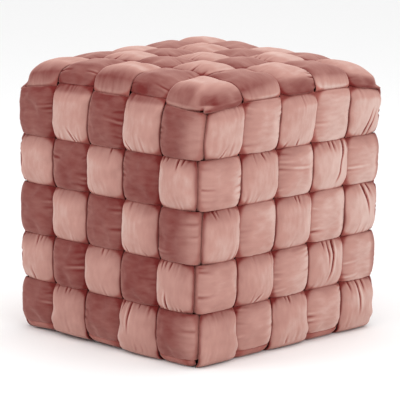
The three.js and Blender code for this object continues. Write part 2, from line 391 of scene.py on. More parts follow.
REACH = 0.0390
ARCH_POWER = 3.4
BLUNT_POWERS = (3.0, 0.55)
LOW_CROWN = 0.0068
HIGH_CROWN = 0.0088
BELLY = 0.0058
EDGE_GAP = 0.0001
EDGE_WALL = 0.0008
PINCH = 0.0016
PINCH_POWER = 1.5
EDGE_CROWDING = 0.45
SWELL_POWER = 0.7
PLUMP_SHARE = 0.10
PLUMP_LENGTH = 0.16
LEAN_SHARE = 0.10
LEAN_LENGTH = 0.13
LUMP_HEIGHT = 0.00035
LUMP_LENGTH = 0.034
# Below VALLEY_LIFT, and in folds deeper than FOLD_VALLEY_DEPTHS, the cover takes painted shade.
VALLEY_LIFT = (0.0050, 0.0088)
FOLD_VALLEY_DEPTHS = (0.0002, 0.0016)
FOLD_VALLEY = 1.3
GUARD_SLOPE = 2.2
GUARD_STATES = (-0.05, 0.25)
SIDE_FLATTENING = 0.15
FLATTENED_RUN = (-0.235, -0.19)

# The feet, where a strap turns under the base, and the hems that hang over the cube's top edge.

FOOT_BEND = 0.0085
TAIL_HALF = 0.0055
FOOT_HEIGHT = FOOT_BEND + TAIL_HALF
FOOT_RUN = CORNER + TOP_LINE - FOOT_HEIGHT
FOOT_STEPS = 8
TAIL_STEPS = 12
FOOT_FULLNESS = 0.6
FOOT_BLEND = 0.014
LAST_CELL_BLEND = 0.030
TAIL_END = 0.146
MITRE_GAP = 0.003
MITRE_BLEND = (0.009, 0.0145)
TAIL_EDGE = 0.185
FOOT_EDGE = 0.1935
FOOT_FLARE = 0.0045
FLARE_RUN = 0.035
SQUEEZED_EDGE = 0.181
SQUEEZED_TOP_EDGE = CORNER + 0.0135
HANGING_FRONT = CORNER + 0.0185
HANGING_SIDE = CORNER + 0.0275
NEAR_DROOP = 0.004
NEAR_DROOP_RUN = (0.10, 0.14)
DROOP_POWER = 0.3
ON_SIDE_RUN = (0.024, 0.034)
HEM_GAP = 0.001
ROW_RISE = 0.0045
LEFT_ROW_RISE = 0.0035
NEAR_ROW_PLACES = (0.29, 0.38)
LEFT_ROW_PLACES = (0.10, 0.36)

# The grid that a cover is laid on, and the coarser one that the cloth simulation swells.

FINE_STEP = 0.0024
COARSE_STEP = 0.0060
OUTER_COLUMNS = 68
INNER_COLUMNS = 8
SIM_ROWS = 2
SIM_COLUMNS = 4
SIM_FRAMES = 10
SIM_LIMIT = 0.005
SIM_FREE_STATES = (0.05, 0.45)
SIM_HELD_RUN = 0.03


def arch(distance):
    return 1 - (1 - np.clip(distance / REACH, 0, 1)) ** ARCH_POWER


def side_start(height):
    """How far out the rounding of the cube's upright edges starts."""
    return SIDE_ROUNDING_FROM + (BEND_FROM - SIDE_ROUNDING_FROM) * smooth(height, ROUNDING_LOW, BEND_HEIGHT)


def rounded(points):
    """Rounds the sharp box, less so at the upright edges and at the hems that hang over them."""
    soft = pulled_in(points, side_start(points[..., 2]))
    sharp = pulled_in(points, SIDE_ROUNDING_FROM)
    inner = np.minimum(np.abs(points[..., 0]), np.abs(points[..., 1]))
    at_hem = smooth(inner, *HEM_INNER) * (1 - smooth(points[..., 2], *HEM_ROUND_HEIGHTS))
    return soft + (sharp - soft) * at_hem[..., None]


def pulled_in(points, start):
    """Draws points beyond the start of the rounding in, so that square corners turn round."""
    sign = np.sign(points)
    excess = np.abs(points)
    excess[..., 0] -= start
    excess[..., 1] -= start
    excess[..., 2] -= BEND_HEIGHT
    outside = np.maximum(excess, 0)
    length = np.linalg.norm(outside, axis=-1)
    pull = np.where(length > 0, outside.max(axis=-1) / np.maximum(length, 1e-9), 1)[..., None]
    moved = np.where(excess > 0, excess * pull, excess)
    moved[..., 0] += start
    moved[..., 1] += start
    moved[..., 2] += BEND_HEIGHT
    return moved * sign


def strap_points(run, across, lift):
    """Places on a front-to-back strap, by the way along it, the way across it and the lift off it."""
    reach = np.abs(run)
    side = np.abs(across)
    past_top = np.maximum(reach - CORNER, 0)
    drop = past_top + np.maximum(side - CORNER, 0)
    inside = 1 - smooth(np.maximum(reach, side), *RELIEF_INNER)
    top_relief = EDGE_RELIEF + (TOP_RELIEF - EDGE_RELIEF) * inside
    lift = lift * (top_relief + (1 - top_relief) * smooth(drop, *RELIEF_DROP))
    grow = (BEND + lift) / BEND
    y = np.where(reach < BEND_FROM, reach, BEND_FROM + (np.minimum(reach, CORNER) - BEND_FROM) * grow)
    wide = 1 + (grow - 1) * (1 - smooth(past_top, 0, WIDE_DROP))
    x = np.where(side < BEND_FROM, side, BEND_FROM + (np.minimum(side, CORNER) - BEND_FROM) * wide)
    z = np.where(drop < BEND, TOP_LINE + lift - drop * grow, TOP_LINE - drop)
    foot = reach > FOOT_RUN
    turn = np.clip((reach - FOOT_RUN) / FOOT_BEND, 0, math.pi / 2)
    tail = np.maximum(reach - FOOT_RUN - turn * FOOT_BEND, 0)
    radius = FOOT_BEND + lift
    flat_radius = FOOT_BEND + np.clip(lift, -TAIL_HALF, TAIL_HALF)
    y = np.where(foot, CORNER - FOOT_BEND + radius * np.cos(turn) - tail, y)
    z = np.where(foot, FOOT_HEIGHT - flat_radius * np.sin(turn), z)
    return np.stack([np.sign(across) * x, np.sign(run) * y, z], axis=-1)


def row_one_rise(x, y):
    """How far the top edge of the first row lies above its usual height, more so toward the left corner."""
    near = smooth(x - y, *NEAR_ROW_PLACES)
    return ROW_RISE * (1 - near) + LEFT_ROW_RISE * smooth(-x - y, *LEFT_ROW_PLACES)


def strap_cells(is_over_top, is_over_row, hem, rises):
    """The stretches of a strap between crossings: where each starts and ends and whether it lies over."""
    cells = [(-0.5 * PITCH, 0.5 * PITCH, is_over_top(0))]
    for way, rise in zip((-1, 1), rises):
        edge_end = hem + HEM_GAP if is_over_row(1) else EDGE_RUN - rise
        borders = [0.5 * PITCH, 1.5 * PITCH, edge_end]
        borders += [CORNER + TOP_LINE - edge for edge in ROW_EDGES[1:]]
        overs = [is_over_top(way), is_over_top(2 * way)]
        overs += [is_over_row(row) for row in range(1, STRAPS + 1)]
        for start, end, is_over in zip(borders[:-1], borders[1:], overs):
            cells.append((min(way * start, way * end), max(way * start, way * end), is_over))
    return sorted(cells)


def sample_cells(cells):
    """The grid's stations along a strap, and how far over (1) or under (-1) it lies at each."""
    runs = []
    states = []
    for start, end, is_over in cells:
        step = FINE_STEP if is_over else COARSE_STEP
        count = 2 * int(round((end - start) / step / 2))
        places = start + (end - start) * np.arange(count) / count
        distance = np.minimum(places - start, end - places)
        runs.append(places)
        states.append(arch(distance) * (1 if is_over else -1))
    return np.concatenate(runs), np.concatenate(states)


def wrapped(grid, is_loop):
    joined = np.concatenate([grid, grid[:, :1]], axis=1)
    if is_loop:
        joined = np.concatenate([joined, joined[:1]], axis=0)
    return joined


def cover_mesh(name, grid, is_loop, facts):
    """Lays a flat cut of cloth along a grid of places and notes the facts that its material reads."""
    stations, around = grid.shape[:2]
    bpy.ops.object.select_all(action="DESELECT")
    lines = stations if is_loop else stations - 1
    bpy.ops.mesh.primitive_grid_add(x_subdivisions=around, y_subdivisions=lines, size=1)
    piece = bpy.context.object
    piece.name = name
    piece.data.vertices.foreach_set("co", wrapped(grid, is_loop).reshape(-1).astype(np.float32))
    for fact, values in facts.items():
        layer = piece.data.attributes.new(fact, "FLOAT", "POINT")
        layer.data.foreach_set("value", wrapped(values, is_loop).reshape(-1).astype(np.float32))
    return piece


def close_cover(piece):
    """Sews the cut to a tube, closes its ends and turns its faces out."""
    bpy.context.view_layer.objects.active = piece
    bpy.ops.object.mode_set(mode="EDIT")
    bpy.ops.mesh.select_all(action="SELECT")
    bpy.ops.mesh.remove_doubles(threshold=0.00001)
    bpy.ops.mesh.select_all(action="DESELECT")
    bpy.ops.mesh.select_mode(type="EDGE")
    bpy.ops.mesh.select_non_manifold()
    bpy.ops.mesh.edge_face_add()
    bpy.ops.mesh.select_all(action="SELECT")
    bpy.ops.mesh.normals_make_consistent(inside=False)
    bpy.ops.object.mode_set(mode="OBJECT")
    bpy.ops.object.shade_smooth()


def grid_normals(points, is_loop):
    """The outward direction at every point of a cover's grid."""
    if is_loop:
        along = np.roll(points, 1, axis=0) - np.roll(points, -1, axis=0)
    else:
        along = np.gradient(points, axis=0)
    across = np.roll(points, -1, axis=1) - np.roll(points, 1, axis=1)
    normal = np.cross(across, along)
    return normal / np.maximum(np.linalg.norm(normal, axis=-1, keepdims=True), 1e-9)


def quarter_turns(vectors, turns):
    x, y, z = vectors[..., 0], vectors[..., 1], vectors[..., 2]
    for _ in range(turns):
        x, y = -y, x
    return np.stack([x, y, z], axis=-1)


UPRIGHT_EDGE_INNER = (0.172, 0.188)
UPRIGHT_EDGE_HEIGHTS = (0.370, 0.395)


def by_upright_edge(points):
    """1 along the cube's four upright edges, 0 elsewhere."""
    inner = np.minimum(np.abs(points[..., 0]), np.abs(points[..., 1]))
    return smooth(inner, *UPRIGHT_EDGE_INNER) * (1 - smooth(points[..., 2], *UPRIGHT_EDGE_HEIGHTS))


# The pile's painted lightness, from 0 to 1: partly the velvet's nap, mostly painted sheen and shade. First
# the heights and places between which the sides, the hanging hems, the near corner's cap and the top turn
# into each other, then what each of them adds or takes.

TOP_HEIGHTS = (0.370, 0.405)
HEM_HEIGHTS = (0.375, 0.390)
LIP_HEIGHTS = (0.370, 0.385)
BEND_HEIGHTS = (0.370, 0.395)
CAP_HEIGHTS = (0.378, 0.388)
DROOP_HEIGHTS = (0.375, 0.388)
LOW_HEIGHTS = (0, 0.36)
CAP_PLACES = (0.24, 0.33)
BY_CAP_PLACES = (0.19, 0.24)
SIDE_CHANGE = 0.005

LOW_SHADE = 0.12
TUCK_SHADE = 0.32
LIP_TUCK_RELIEF = 0.17
RIM_LIGHT = 0.40
RIM_SHADE = 0.30
RIM_CALM = 0.8
LIT_FROM = 0.2
HEM_LIGHT = 0.20
HEM_SHADE = 0.30
HEM_CALM = 0.6
UNDER_LIGHT = 0.10
FRONT_SLOPE_SHADE = 0.9
RIGHT_SLOPE_SHADE = 0.20
RIDGE_CALM = 0.8
DARKEST_TOP = 0.12
BEND_SHADE = 0.10
# A fold's depth becomes painted shade in its trough and painted highlight on its banks.
CREASE_DEPTHS = (-0.0016, 0.0008)
CREASE_PAINTED_SHADING = 260
CAP_LIGHT = 0.08
CAP_SHADE = 0.19
CAP_SIDE_CALM = 0.7
DROOP_LIGHT = 0.10
DROOP_SHADE = 0.04
FRONT_DROOP_SHADE = 0.12
VALLEY_SHADE = 0.10
VALLEY_TONE_SHADE = 0.35
VALLEY_TOP_SHADE = 0.34
VALLEY_CAP_CALM = 0.6
CREASE_CAP_CALM = 0.5
MIDDLE_LEVEL = 0.6


def painted_pile_light(points, normal, facts, base, level):
    """The pile's painted lightness at every point, from nap, painted sheen and painted shade; base is its
    tone on the sides, level on the flat top.
    """
    height = points[..., 2]
    upward = normal[..., 2]
    toward_near = points[..., 0] - points[..., 1]
    flat = smooth(upward, 0.2, 0.95) * smooth(height, *TOP_HEIGHTS)
    front = np.maximum(-normal[..., 1], 0)
    side = np.maximum(normal[..., 0], 0)
    at_corner = smooth(toward_near, *CAP_PLACES)
    on_front = smooth(np.abs(points[..., 1]) - np.abs(points[..., 0]), -SIDE_CHANGE, SIDE_CHANGE)
    lengthwise = on_front if level < MIDDLE_LEVEL else 1 - on_front
    on_lips = smooth(height, *LIP_HEIGHTS)
    # The sides: painted shade low down and where the cover tucks under, painted light where it faces down,
    # one rim painted light and one dark, and painted light and shade on the hems, by which way they run.
    low = LOW_SHADE * base * (1 - smooth(height, *LOW_HEIGHTS))
    tucked = (TUCK_SHADE - LIP_TUCK_RELIEF * on_lips) * smooth(upward, 0.0, 0.6)
    toward_edge = on_front * normal[..., 0] - (1 - on_front) * normal[..., 1]
    rim = RIM_LIGHT * np.maximum(-toward_edge, 0) - RIM_SHADE * np.maximum(toward_edge, 0)
    rim = rim * (1 - RIM_CALM * by_upright_edge(points)) * (1 - on_lips)
    lit = LIT_FROM + (1 - LIT_FROM) * smooth(base, 0.15, 0.5)
    hem = smooth(0.3 - upward, 0, 0.4) * smooth(height, *HEM_HEIGHTS)
    hem = hem * (HEM_LIGHT - HEM_SHADE * lengthwise) * (1 - HEM_CALM * at_corner)
    upright = base + (rim - tucked) * lit + UNDER_LIGHT * np.clip(-upward, 0, 1) - low + hem
    # The top: painted sheen where it lies flat and painted shade on the slopes that face the viewer,
    # apart from the near ridge, and where it bends over the edge.
    steep = np.clip(upward, 0, 1)
    bend = smooth(4 * steep * (1 - steep), 0, 1) * smooth(height, *BEND_HEIGHTS)
    ridge = at_corner * smooth(1 - np.abs(front - side) / (front + side + 0.15), 0.2, 1)
    slopes = FRONT_SLOPE_SHADE * front + RIGHT_SLOPE_SHADE * side
    top = np.maximum(level - slopes * (1 - RIDGE_CALM * ridge), DARKEST_TOP)
    # Painted light and shade on the near corner's cap and the hanging lips, and painted shade in the valleys
    # and creases everywhere.
    crease = np.clip(facts["crease"], *CREASE_DEPTHS) * CREASE_PAINTED_SHADING
    cap = at_corner * smooth(height, *CAP_HEIGHTS) * (1 - smooth(upward, 0.6, 0.9))
    on_right = smooth(side - front, -0.45, 0.0) * (1 - CAP_SIDE_CALM * smooth(side - front, 0.5, 0.9))
    cap = cap * (CAP_LIGHT * smooth(front - side, 0.1, 0.4) - CAP_SHADE * on_right)
    tone = base + (level - base) * flat
    in_valley = facts["valley"] * (VALLEY_SHADE + VALLEY_TONE_SHADE * tone + VALLEY_TOP_SHADE * flat)
    droop = lengthwise * smooth(height, *DROOP_HEIGHTS) * (1 - at_corner)
    shaded = (DROOP_SHADE + FRONT_DROOP_SHADE * on_front) * (1 - smooth(upward, 0.15, 0.6))
    shown = DROOP_LIGHT * smooth(upward, 0.4, 0.7) * (1 - smooth(upward, 0.85, 0.97))
    nap = upright + (top - upright) * flat - BEND_SHADE * bend * smooth(0.3 - side, 0, 0.3)
    by_cap = smooth(toward_near, *BY_CAP_PLACES) * flat
    deep = in_valley * (1 - VALLEY_CAP_CALM * by_cap)
    nap = nap + droop * (shown - shaded) + cap - deep + crease * (1 - CREASE_CAP_CALM * by_cap)
    return np.clip(nap, 0, 1)


def section_places():
    """Where the columns of the grid lie across a strap, from edge (-1) to edge (1), crowded at the edges."""
    line = np.linspace(-1, 1, OUTER_COLUMNS + 1)
    outer = (1 - EDGE_CROWDING) * line + EDGE_CROWDING * np.sin(line * math.pi / 2)
    inner = np.linspace(1, -1, INNER_COLUMNS)
    return outer, inner


def blunt(share):
    return (1 - np.abs(share) ** BLUNT_POWERS[0]) ** BLUNT_POWERS[1]


WAVE_COUNT = 7
WAVE_LENGTHS = (0.7, 1.5)


def waves(chance, run, across, length):
    """A gentle random unevenness, as the sum of a few waves about one length long."""
    total = np.zeros(np.broadcast(run, across).shape)
    for _ in range(WAVE_COUNT):
        turn = chance.uniform(0, 2 * math.pi)
        pace = 2 * math.pi / (length * chance.uniform(*WAVE_LENGTHS))
        phase = chance.uniform(0, 2 * math.pi)
        total = total + np.sin(pace * (math.cos(turn) * run + math.sin(turn) * across) + phase)
    return total / math.sqrt(WAVE_COUNT)


# The gathers at both ends of a cell: how many, how they spread, and how long, deep and wide they are. The
# seen folds come from the short tables further down.

GATHER_COUNTS = (2, 7)
GATHER_SHARES = (-0.9, 0.9)
GATHER_LENGTHS = (0.10, 0.45)
LONGEST_CELL = 0.09
GATHER_FAN = (0.0, 0.007)
GATHER_DRIFT = (-0.002, 0.002)
GATHER_LEAST_DEPTH = 0.0005
GATHER_MORE_DEPTH = 0.0026
GATHER_DEPTH_POWER = 2.2
GATHER_WIDTHS = (0.0014, 0.0024)
GATHER_OVERRUN = 0.002
SEEN_OVERRUN = 0.03
SEEN_WIDTH = 0.0012
SEEN_WIDENING = 0.0003


def gathers(chance, start, end, low, high, strength):
    """Random folds that run inward from both ends of a cell, where the cover is drawn under a neighbour."""
    folds = []
    length = end - start
    for edge, inward in ((start, 1), (end, -1)):
        count = chance.integers(*GATHER_COUNTS)
        for _ in range(count):
            share = chance.uniform(*GATHER_SHARES)
            reach = chance.uniform(*GATHER_LENGTHS) * min(length, LONGEST_CELL)
            place = (low + high) / 2 + share * (high - low) / 2
            tip = place - share * chance.uniform(*GATHER_FAN) + chance.uniform(*GATHER_DRIFT)
            more = GATHER_MORE_DEPTH * chance.uniform(0, 1) ** GATHER_DEPTH_POWER
            depth = (GATHER_LEAST_DEPTH + more) * strength
            width = chance.uniform(*GATHER_WIDTHS)
            outer_end = edge - inward * GATHER_OVERRUN
            folds.append((outer_end, place, edge + inward * reach, tip, depth, width, False))
    return folds


def seen_folds(entries, near, far, middle, half, unit):
    """Turns folds given by shares of a cell into folds in metres, near being its top or left end."""
    folds = []
    for end, start, tip, length, depth in entries:
        here, there = (near, far) if end in ("top", "left", "long") else (far, near)
        way = there - here
        first = (here - SEEN_OVERRUN * way, middle + start * half)
        last = (here + length * way, middle + tip * half)
        folds.append((*first, *last, depth * unit, SEEN_WIDTH + depth * SEEN_WIDENING, end == "long"))
    return folds


FOLD_OVERRUN = 0.05
OPEN_FOLD_POWER = 0.6
FOLD_FADE_POWER = 0.9
TROUGH_POWER = 1.5
BANK_HEIGHT = 0.45
BANK_PLACE = 2.3
BANK_SPREAD = 1.1


def fold_relief(folds, run, across):
    """Presses each fold in as a trough between low banks, or out where its depth is below 0."""
    relief = np.zeros(across.shape)
    for start, start_across, end, end_across, depth, width, is_open in folds:
        share = (run - start) / (end - start)
        near = (share > -FOLD_OVERRUN) & (share < 1)
        if not near.any():
            continue
        part = share[near][:, None]
        center = start_across + (end_across - start_across) * part
        if is_open:
            strength = np.sin(math.pi * np.clip(part, 0, 1)) ** OPEN_FOLD_POWER
        else:
            strength = (1 - part) ** FOLD_FADE_POWER
        away = np.abs(across[near] - center) / width
        trough = np.exp(-(away**TROUGH_POWER))
        bank = BANK_HEIGHT * np.exp(-((away - BANK_PLACE) ** 2) / BANK_SPREAD)
        relief[near] += depth * strength * (bank - trough)
    return relief


def sectioned(chance, run, state, low, high, folds, height):
    """The places across a strap and the lifts off its middle, for its crowned face and then its back."""
    outer, inner = section_places()
    over = np.maximum(state, 0)[:, None]
    middle = ((low + high) / 2)[:, None]
    half = ((high - low) / 2)[:, None]
    outer_across = middle + half * outer
    inner_across = middle + half * inner
    thin = arch(half * (1 - np.abs(outer)))
    section = thin + (blunt(outer)[None, :] - thin) * over**SWELL_POWER
    plump = 1 + PLUMP_SHARE * waves(chance, run[:, None], 0 * run[:, None], PLUMP_LENGTH)
    lean = LEAN_SHARE * waves(chance, run[:, None], 0 * run[:, None], LEAN_LENGTH) * outer[None, :]
    crown = LOW_CROWN + (HIGH_CROWN * plump * (1 + lean) * height[:, None] - LOW_CROWN) * over
    lumps = LUMP_HEIGHT * waves(chance, run[:, None], outer_across, LUMP_LENGTH) * over
    creases = fold_relief(folds, run, outer_across)
    guard = np.clip(blunt(outer) * GUARD_SLOPE, 0, 1)[None, :] * smooth(over, *GUARD_STATES)
    lift = SWING * state[:, None]
    outer_lift = lift + EDGE_WALL + (crown - EDGE_WALL) * section + lumps * guard
    inner_lift = lift - BELLY * arch(half * (1 - np.abs(inner)))
    across = np.concatenate([outer_across, inner_across], axis=1)
    lifts = np.concatenate([outer_lift, inner_lift], axis=1)
    crease_share = np.concatenate([creases * guard, 0 * inner_across], axis=1)
    # The valley mask is where shade is painted: low between the straps, in the folds and on the hidden back.
    valley = 1 - smooth(outer_lift, *VALLEY_LIFT)
    folded = smooth(-creases * guard, *FOLD_VALLEY_DEPTHS)
    valley = np.concatenate([np.maximum(valley, FOLD_VALLEY * folded), 1 + 0 * inner_lift], axis=1)
    return across, lifts, {"valley": valley, "crease": crease_share}


def swell(points, state, is_loop):
    """The filling pushes the cover out where the strap lies over its neighbours, by a cloth simulation."""
    rows = np.arange(0, len(points) - (0 if is_loop else 1), SIM_ROWS)
    if not is_loop:
        rows = np.append(rows, len(points) - 1)
    outer_columns = np.arange(0, OUTER_COLUMNS + 1, SIM_COLUMNS)
    columns = np.concatenate([outer_columns, np.arange(OUTER_COLUMNS + 1, points.shape[1])])
    coarse = points[np.ix_(rows, columns)]
    count, around = coarse.shape[:2]
    mesh = bpy.data.meshes.new("swelling")
    index = np.arange(count * around).reshape(count, around)
    after = np.roll(index, -1, axis=0)
    here = index if is_loop else index[:-1]
    after = after if is_loop else after[:-1]
    quads = np.stack([here, np.roll(here, -1, axis=1), np.roll(after, -1, axis=1), after], axis=-1)
    mesh.from_pydata(coarse.reshape(-1, 3).tolist(), [], quads.reshape(-1, 4).tolist())
    pad = bpy.data.objects.new("swelling", mesh)
    bpy.context.collection.objects.link(pad)
    free = smooth(state[rows], *SIM_FREE_STATES)[:, None] * np.ones((1, around))
    free[:, OUTER_COLUMNS // SIM_COLUMNS + 1 :] = 0
    held = pad.vertex_groups.new(name="held")
    for number, weight in enumerate((1 - free).reshape(-1)):
        held.add([number], float(weight), "REPLACE")
    cloth = pad.modifiers.new("cloth", "CLOTH")
    settings = cloth.settings
    settings.quality = 4
    settings.mass = 0.15
    settings.tension_stiffness = 12
    settings.compression_stiffness = 12
    settings.shear_stiffness = 6
    settings.bending_stiffness = 0.2
    settings.use_pressure = True
    settings.uniform_pressure_force = 4
    settings.shrink_min = -0.030
    settings.vertex_group_mass = "held"
    settings.pin_stiffness = 1
    settings.effector_weights.gravity = 0
    cloth.collision_settings.use_collision = False
    cloth.point_cache.frame_end = SIM_FRAMES
    scene = bpy.context.scene
    for number in range(1, SIM_FRAMES + 1):
        scene.frame_set(number)
    shaped = pad.evaluated_get(bpy.context.evaluated_depsgraph_get())
    moved = np.zeros(3 * count * around, dtype=np.float32)
    shaped.data.vertices.foreach_get("co", moved)
    scene.frame_set(1)
    bpy.data.objects.remove(pad)
    bpy.data.meshes.remove(mesh)
    shift = moved.reshape(count, around, 3) - coarse
    length = np.linalg.norm(shift, axis=-1, keepdims=True)
    shift = shift * SIM_LIMIT * np.tanh(length / SIM_LIMIT) / np.maximum(length, 1e-9)
    for axis in (0, 1):
        inside = shift[1:-1] if axis == 0 else shift[:, 1:-1]
        before = shift[:-2] if axis == 0 else shift[:, :-2]
        behind = shift[2:] if axis == 0 else shift[:, 2:]
        inside[...] = 0.5 * inside + 0.25 * (before + behind)
    shift[..., 2] = np.maximum(shift[..., 2], -coarse[..., 2])
    if is_loop:
        shift = np.concatenate([shift, shift[:1]], axis=0)
        rows = np.append(rows, len(points))
    along = np.arange(len(points))
    by_row = np.stack(
        [
            np.interp(along, rows, shift[:, column, axis])
            for column in range(around)
            for axis in range(3)
        ],
        axis=-1,
    ).reshape(len(points), around, 3)
    every = np.arange(points.shape[1])
    by_column = np.zeros(points.shape)
    for axis in range(3):
        for row in range(len(points)):
            by_column[row, :, axis] = np.interp(every, columns, by_row[row, :, axis])
    return points + by_column


# How strong the random gathers are: weaker beside folds that can be made out, weakest on the hanging lips.

SEEN_CELL_STRENGTH = 0.35
LIP_STRENGTH = 0.22
PLAIN_STRENGTH = 0.7
LIP_WIDTH = 0.04
STRAP_FOLD_UNIT = 0.0016


def strap_grid(chance, column, cells, hanging_edge, seen, seen_way):
    """The whole grid of a strap, with its feet and tails, its hanging edges, its folds and its swelling."""
    run, state = sample_cells(cells)
    last = cells[-1][1]
    turn_length = FOOT_BEND * math.pi / 2
    tail_length = CORNER - FOOT_BEND - TAIL_END
    turn_part = np.linspace(0, turn_length, FOOT_STEPS)[:-1]
    foot = np.concatenate([turn_part, turn_length + np.linspace(0, tail_length, TAIL_STEPS)])
    run = np.concatenate([-last - foot[::-1], run[1:], last + foot])
    foot_state = FOOT_FULLNESS if cells[-1][2] else 0
    state = np.concatenate([0 * foot + foot_state, state[1:], 0 * foot + foot_state])
    to_foot = np.clip(1 - (FOOT_RUN - np.abs(run)) / FOOT_BLEND, 0, 1) ** 2
    kept = (1 if cells[-1][2] else -1) * (1 - to_foot) + foot_state * to_foot
    state = np.where(np.abs(run) > last - LAST_CELL_BLEND, kept, state)
    reach = np.abs(run)
    over = np.maximum(state, 0)
    narrow = EDGE_GAP + PINCH * (1 - np.abs(state)) ** PINCH_POWER * (1 - to_foot)
    narrow = narrow - FOOT_FLARE * over * smooth(reach, FOOT_RUN - FLARE_RUN, FOOT_RUN)
    low = CELL_BORDERS[column - 1] + narrow
    high = CELL_BORDERS[column] - narrow
    if column in (1, STRAPS):
        openness = (1 + state) / 2
        full_side = CORNER - narrow
        side_edge = SQUEEZED_EDGE + (full_side - SQUEEZED_EDGE) * openness
        side_edge = side_edge + (FOOT_EDGE - side_edge) * to_foot
        top_edge = SQUEEZED_TOP_EDGE + (hanging_edge - SQUEEZED_TOP_EDGE) * openness
        past_top = reach - CORNER
        droop = NEAR_DROOP * smooth(-run, *NEAR_DROOP_RUN)
        top_edge = top_edge + droop * over**DROOP_POWER - np.maximum(past_top, 0)
        on_side = smooth(past_top, *ON_SIDE_RUN)
        edge = top_edge + (side_edge - top_edge) * on_side
        mitre = CORNER - FOOT_BEND - np.maximum(reach - FOOT_RUN - turn_length, 0) - MITRE_GAP
        edge = edge + (np.minimum(mitre, TAIL_EDGE) - edge) * smooth(reach - FOOT_RUN, *MITRE_BLEND)
        if column == STRAPS:
            high = edge
        else:
            low = -edge
    folds = []
    for start, end, is_over in cells:
        if is_over:
            at_start = np.argmin(abs(run - start))
            drop = (start + end) * seen_way / 2 - CORNER - TOP_LINE
            row = 1 + sum(drop > -edge for edge in ROW_EDGES[1:])
            entries = seen.get(row, []) if drop > -ROW_EDGES[0] else []
            is_lip = abs(start + end) / 2 > CORNER - LIP_WIDTH and not entries
            strength = SEEN_CELL_STRENGTH if entries else LIP_STRENGTH if is_lip else PLAIN_STRENGTH
            folds += gathers(chance, start, end, low[at_start], high[at_start], strength)
            near, far = (start, end) if seen_way > 0 else (end, start)
            middle = (low[at_start] + high[at_start]) / 2
            half = -seen_way * (high[at_start] - low[at_start]) / 2
            folds += seen_folds(entries, near, far, middle, half, STRAP_FOLD_UNIT)
    height = 1 - SIDE_FLATTENING * smooth(-reach, *FLATTENED_RUN)
    across, lifts, facts = sectioned(chance, run, state, low, high, folds, height)
    facts["along"] = np.broadcast_to(run[:, None], across.shape)
    facts["across"] = across
    calm = rounded(strap_points(facts["along"], across, lifts))
    points = calm
    held = smooth(FOOT_RUN - np.abs(run), 0, SIM_HELD_RUN)
    points = swell(points, state * held, False)
    return calm, points + grid_normals(points, False) * facts["crease"][..., None], facts


def is_even(number):
    return number % 2 == 0


def front_strap_is_over(column, row):
    return not is_even(column + row)


def side_strap_is_over(column, row):
    return is_even(column + row)


# The velvet is a dusty rose. Its tone runs from deep to pale by its nap and by painted sheen and painted
# shade, broken up by broad patches, by strokes along the cloth and by the fine pile, and the valleys between
# the straps get a painted shade of darker red.

# The ramp runs from DEEP_ROSE, the pile seen into its nap or in painted shade, to PALE_ROSE, with painted
# sheen.
DEEP_ROSE = color(106, 34, 31)
MIDDLE_ROSE = color(179, 134, 124)
PALE_ROSE = color(202, 172, 163)
SHEEN_ROSE = color(255, 205, 192)
SEAM_PAINTED_SHADE = (0.98, 0.42, 0.38, 1)
SEAM_STRENGTH = 0.65
MIDDLE_PLACE = 0.75
PATCH_SCALE = 16
STROKE_SCALE = 130
STROKE_STRETCH = 0.4
PILE_SCALE = 1400
PATCH_TONE = 0.34
STROKE_TONE = 0.26
PILE_TONE = 0.10
STROKE_RELIEF = 0.6
PILE_RELIEF = 0.25
PILE_HEIGHT = 0.0008


def attribute(tree, name):
    node = add_node(tree, "ShaderNodeAttribute", {"attribute_name": name}, {})
    return Shade(tree, node.outputs["Fac"])


def velvet(name):
    material, tree, shader = new_material(name)
    nap = attribute(tree, "nap")
    along = attribute(tree, "along")
    across = attribute(tree, "across")
    place = Shade(tree, add_node(tree, "ShaderNodeTexCoord", {}, {}).outputs["Object"])
    stretched = {"X": along * STROKE_STRETCH, "Y": across}
    cloth = Shade(tree, add_node(tree, "ShaderNodeCombineXYZ", {}, stretched).outputs[0])
    broad = noise(tree, place, PATCH_SCALE, detail=2)
    strokes = noise(tree, cloth, STROKE_SCALE, detail=3)
    pile = noise(tree, place, PILE_SCALE, detail=2)
    tone = nap + (broad - 0.5) * PATCH_TONE + (strokes - 0.5) * STROKE_TONE + (pile - 0.5) * PILE_TONE
    stops = [(0, DEEP_ROSE), (MIDDLE_PLACE, MIDDLE_ROSE), (1, PALE_ROSE)]
    ramp = add_node(tree, "ShaderNodeValToRGB", {"stops": stops}, {"Fac": tone})
    rose_with_painted_light = Shade(tree, ramp.outputs[0])
    valley = attribute(tree, "valley")
    # Painted shade: the valleys are multiplied toward a darker red.
    mixed = add_node(
        tree,
        "ShaderNodeMix",
        {"data_type": "RGBA", "blend_type": "MULTIPLY", "clamp_factor": True},
        {0: valley * SEAM_STRENGTH, 6: rose_with_painted_light, 7: SEAM_PAINTED_SHADE},
    )
    connect(tree, Shade(tree, mixed.outputs[2]), shader, "Base Color")
    grain = strokes * STROKE_RELIEF + pile * PILE_RELIEF
    bumps = {"Height": grain, "Strength": 0.5, "Distance": PILE_HEIGHT}
    relief = add_node(tree, "ShaderNodeBump", {}, bumps)
    connect(tree, Shade(tree, relief.outputs[0]), shader, "Normal")
    shader.inputs["Roughness"].default_value = 0.75
    shader.inputs["Specular IOR Level"].default_value = 0.2
    shader.inputs["Sheen Weight"].default_value = 0.45
    shader.inputs["Sheen Roughness"].default_value = 0.35
    shader.inputs["Sheen Tint"].default_value = SHEEN_ROSE
    return material


strap_velvet = velvet("strap_velvet")

STRAP_DARK = 0.22
STRAP_LIGHT = 0.78
FACING_SHARES = (0.25, 0.9)
EDGE_BLEND = 0.004
EDGE_VALLEY_CALM = 0.6


